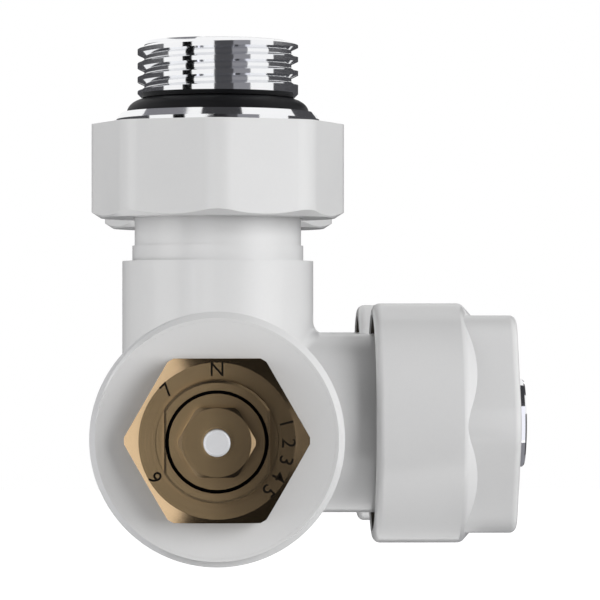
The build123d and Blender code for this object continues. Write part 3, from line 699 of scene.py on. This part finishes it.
# Return spring. A coil of spring steel wire between the presetting sleeve's web and the stem's
# collar, which lifts the disc off its seat and shortens as the pin goes in.
def spring_tree():
    """Geometry nodes for a coil spring: round wire along a helix."""
    make, size = new_tree("coil_spring", ("Wire Radius", "Coil Radius", "Height", "Turns"))
    helix = {
        "Resolution": 40,
        "Rotations": size["Turns"],
        "Start Radius": size["Coil Radius"],
        "End Radius": size["Coil Radius"],
        "Height": size["Height"],
    }
    helix = make.add("GeometryNodeCurveSpiral", values=helix)
    wire = {"Resolution": 14, "Radius": size["Wire Radius"]}
    wire = make.add("GeometryNodeCurvePrimitiveCircle", values=wire)
    wound = {"Curve": helix, "Profile Curve": wire, "Fill Caps": True}
    wound = make.add("GeometryNodeCurveToMesh", values=wound)
    return end_tree(make, wound, size["Finish"])


spring_steel = turned(
    "spring_steel",
    ((0.5, 0.5, 0.52, 1), (0.62, 0.62, 0.64, 1)),
    insert_centre,
    insert_axis,
    roughness=0.3,
    ring_scale=9000.0,
    ring_depth=0.000006,
)
spring_wire_radius = 0.00042
spring_front, spring_back = (corner.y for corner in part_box("return_spring"))
spring_sizes = {
    "Wire Radius": spring_wire_radius,
    "Coil Radius": 0.0031,
    "Height": spring_back - spring_front - 2 * spring_wire_radius,
    "Turns": 5.0,
    "Finish": spring_steel,
}
coil_spring = grown(spring_tree(), "coil_spring", spring_sizes)
to_spring = to_insert @ Matrix.Translation((0, 0, spring_wire_radius - spring_back))
coil_spring.data.transform(to_spring)
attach(coil_spring, "presetting")
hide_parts("return_spring")
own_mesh(coil_spring)


# Lockshield. A brass insert with a hexagon, its spindle with a cone and a key socket, a rubber
# ring, and a fluted cap moulded in white plastic screwed over it.
lock_brass = turned(
    "lock_brass",
    brass_tones,
    lock_centre,
    lock_axis,
    roughness=0.32,
    ring_scale=3600.0,
    ring_depth=0.00002,
)
wear(lock_brass, "lockshield_insert", "lockshield_spindle")
wear(black_rubber, "lockshield_seal")
white_plastic = moulded(
    "white_plastic",
    ior=1.46,
    tones=((0.72, 0.725, 0.72, 1), (0.78, 0.78, 0.775, 1)),
    cloud_noise={"Scale": 140.0, "Detail": 3.0},
    grain_noise={"Scale": 3200.0, "Detail": 3.0},
    roughness=(0.4, 0.54),
    grain_strength=0.25,
)
wear(white_plastic, "lockshield_cap")


# Studio. A pale floor and a white surround, soft lamps at left, right and back with the strongest
# on the right, cards that only reflections see, and a long lens level with the union nut.
def strip(name, first_edge, second_edge):
    """A stage sheet between two rows of points."""
    count = len(first_edge)
    faces = [(i, i + 1, i + 1 + count, i + count) for i in range(count - 1)]
    mesh = bpy.data.meshes.new(name)
    mesh.from_pydata([*first_edge, *second_edge], [], faces)
    sheet = placed(name, mesh)
    return sheet


def plate(name, middle, size):
    """A flat stage sheet, level or upright: its middle and its three sizes, one of them nought."""
    across = Vector((size[0], 0, 0)) / 2
    up = Vector((0, size[1], size[2])) / 2
    middle = Vector(middle)
    first_edge = [middle - across - up, middle + across - up]
    second_edge = [middle - across + up, middle + across + up]
    return strip(name, first_edge, second_edge)


def seen_directly(tree):
    """One for rays from the camera, a mirror or glass, nought for diffuse light."""
    camera_ray = tree.add("ShaderNodeLightPath", result="Is Camera Ray")
    glossy_ray = tree.add("ShaderNodeLightPath", result="Is Glossy Ray")
    glass_ray = tree.add("ShaderNodeLightPath", result="Is Transmission Ray")
    return camera_ray | glossy_ray | glass_ray


floor_paint, floor_tree, floor_shader = new_finish("floor_paint", Roughness=0.8)
floor_shader.inputs["Base Color"].default_value = (0.5, 0.5, 0.5, 1)
floor_glow = floor_tree.add("ShaderNodeEmission", values={"Color": (1, 1, 1, 1), "Strength": 0.95})
floor_face = Socket(floor_tree.tree, floor_shader.outputs[0])
floor_bright = floor_tree.add("ShaderNodeAddShader", values={0: floor_face, 1: floor_glow})
floor_mix = {0: seen_directly(floor_tree), 1: floor_face, 2: floor_bright}
floor_mix = floor_tree.add("ShaderNodeMixShader", values=floor_mix)
floor_tree.feed(floor_tree.tree.nodes["Material Output"].inputs["Surface"], floor_mix)
floor = plate("studio_floor", (0, 1.0, -0.4), (12.0, 12.0, 0))
floor.data.materials.append(floor_paint)

surround = bpy.data.worlds.new("white_surround")
surround.use_nodes = True
bpy.context.scene.world = surround
sky = Socket(surround.node_tree)
sky_color = seen_directly(sky).blend((0.27, 0.27, 0.27, 1), (1, 1, 1, 1))
sky.feed(surround.node_tree.nodes["Background"].inputs["Color"], sky_color)


def screen(name, plan, low, high):
    """An upright stage sheet over plan points, from one height to another."""
    return strip(name, [(x, y, low) for x, y in plan], [(x, y, high) for x, y in plan])


def bow(reach, start, end, steps=24):
    """Plan points on an arc round the valve; bearings in degrees from the camera's side to +X."""
    bearings = [math.radians(start + (end - start) * i / steps) for i in range(steps + 1)]
    return [(reach * math.sin(bearing), -reach * math.cos(bearing)) for bearing in bearings]


def card(sheet, grey):
    """Paints a stage sheet one grey and shows it in reflections only."""
    paint = bpy.data.materials.new(sheet.name)
    paint.use_nodes = True
    tree = Socket(paint.node_tree)
    color = (grey, grey, grey * 1.08, 1)
    glow = tree.add("ShaderNodeEmission", values={"Color": color, "Strength": 1.0})
    tree.feed(paint.node_tree.nodes["Material Output"].inputs["Surface"], glow)
    sheet.data.materials.append(paint)
    sheet.visible_camera = False
    sheet.visible_diffuse = False
    sheet.visible_transmission = False
    sheet.visible_volume_scatter = False
    sheet.visible_shadow = False


# Cards that the chrome and the enamel reflect, far out round the valve and over it
card(screen("back_flag", bow(0.6, 86, 277), low=-0.6, high=0.06), grey=0.07)
card(screen("back_right_flag", bow(0.6, 120, 165, 6), low=0.14, high=0.5), grey=0.07)
card(screen("left_flag", bow(0.5, -51, -37, 4), low=-0.6, high=0.9), grey=0.006)
card(screen("front_flag", bow(0.5, -5, 22, 6), low=-0.6, high=0.9), grey=0.07)
card(screen("front_grey_flag", bow(0.5, 22, 47, 6), low=-0.6, high=0.9), grey=0.26)
card(plate("top_flag", (0.025, -0.06, 0.5), (0.25, 0.7, 0)), grey=0.05)
card(plate("top_grey_flag", (-0.3, 0.15, 0.5), (0.4, 0.4, 0)), grey=0.22)

# Cards close to the insert's face and to the nozzle's tip
card(plate("insert_front_flag", (0.0185, -0.106, -0.051), (0.049, 0, 0.058)), grey=0.08)
card(plate("nozzle_flag", (0.044, -0.04, -0.0435), (0.012, 0, 0.077)), grey=1.0)
card(plate("nozzle_low_flag", (0.06, 0.03, -0.078), (0.05, 0.122, 0)), grey=0.25)

hood_radius = 0.043


def hood(name, first, last, grey, near=-0.05, far=-0.105, steps=12):
    """A card bent round the valve insert, between two angles from +X over the top."""
    angles = [math.radians(first + (last - first) * i / steps) for i in range(steps + 1)]
    section = [(hood_radius * math.cos(angle), hood_radius * math.sin(angle)) for angle in angles]
    edges = [[(x, depth, insert_centre[2] + z) for x, z in section] for depth in (near, far)]
    card(strip(name, *edges), grey)


hood("insert_top_flag", 25, 115, grey=0.02)
hood("insert_side_flag", -25, 25, grey=0.09, far=-0.078)
hood("gland_side_flag", -18, 18, grey=1.6, near=-0.078, far=-0.0855)
hood("gland_front_flag", -25, 25, grey=0.13, near=-0.0855)
hood("insert_low_flag", -115, -25, grey=0.02, near=-0.045)
hood("insert_left_flag", 115, 245, grey=1.65, near=-0.061, far=-0.0745)
hood("gland_left_flag", 115, 245, grey=0.2, near=-0.0745)
hood("insert_edge_flag", 115, 245, grey=0.03, near=-0.045, far=-0.061)

lamp_aim = Vector((0, 0, -0.03))


def lamp(name, place, size, power):
    """A square soft lamp turned to the valve, which neither the camera nor a mirror sees."""
    light = bpy.data.lights.new(name, "AREA")
    light.shape = "SQUARE"
    light.size = size
    light.energy = power
    made = placed(name, light)
    made.location = place
    made.rotation_euler = (lamp_aim - Vector(place)).to_track_quat("-Z", "Y").to_euler()
    made.visible_glossy = False
    made.visible_camera = False


lamp("left_lamp", (-0.83, -0.22, 0.02), size=0.8, power=6.0)
lamp("right_lamp", (0.66, -0.555, 0.15), size=0.6, power=7.5)
lamp("back_lamp", (0, 0.9, -0.02), size=0.7, power=5.0)

# The photograph's perspective puts the camera 444 mm before the supply riser
camera_data = bpy.data.cameras.new("camera")
camera_data.lens = 204.1
camera_data.sensor_width = 36.0
camera_data.clip_start = 0.01
camera = placed("camera", camera_data)
camera.location = (0.00084, -0.444, -0.0296)
camera.rotation_euler = (math.radians(90.354), 0, math.radians(-1.275))
bpy.context.scene.camera = camera
bpy.context.scene.view_settings.view_transform = "Standard"
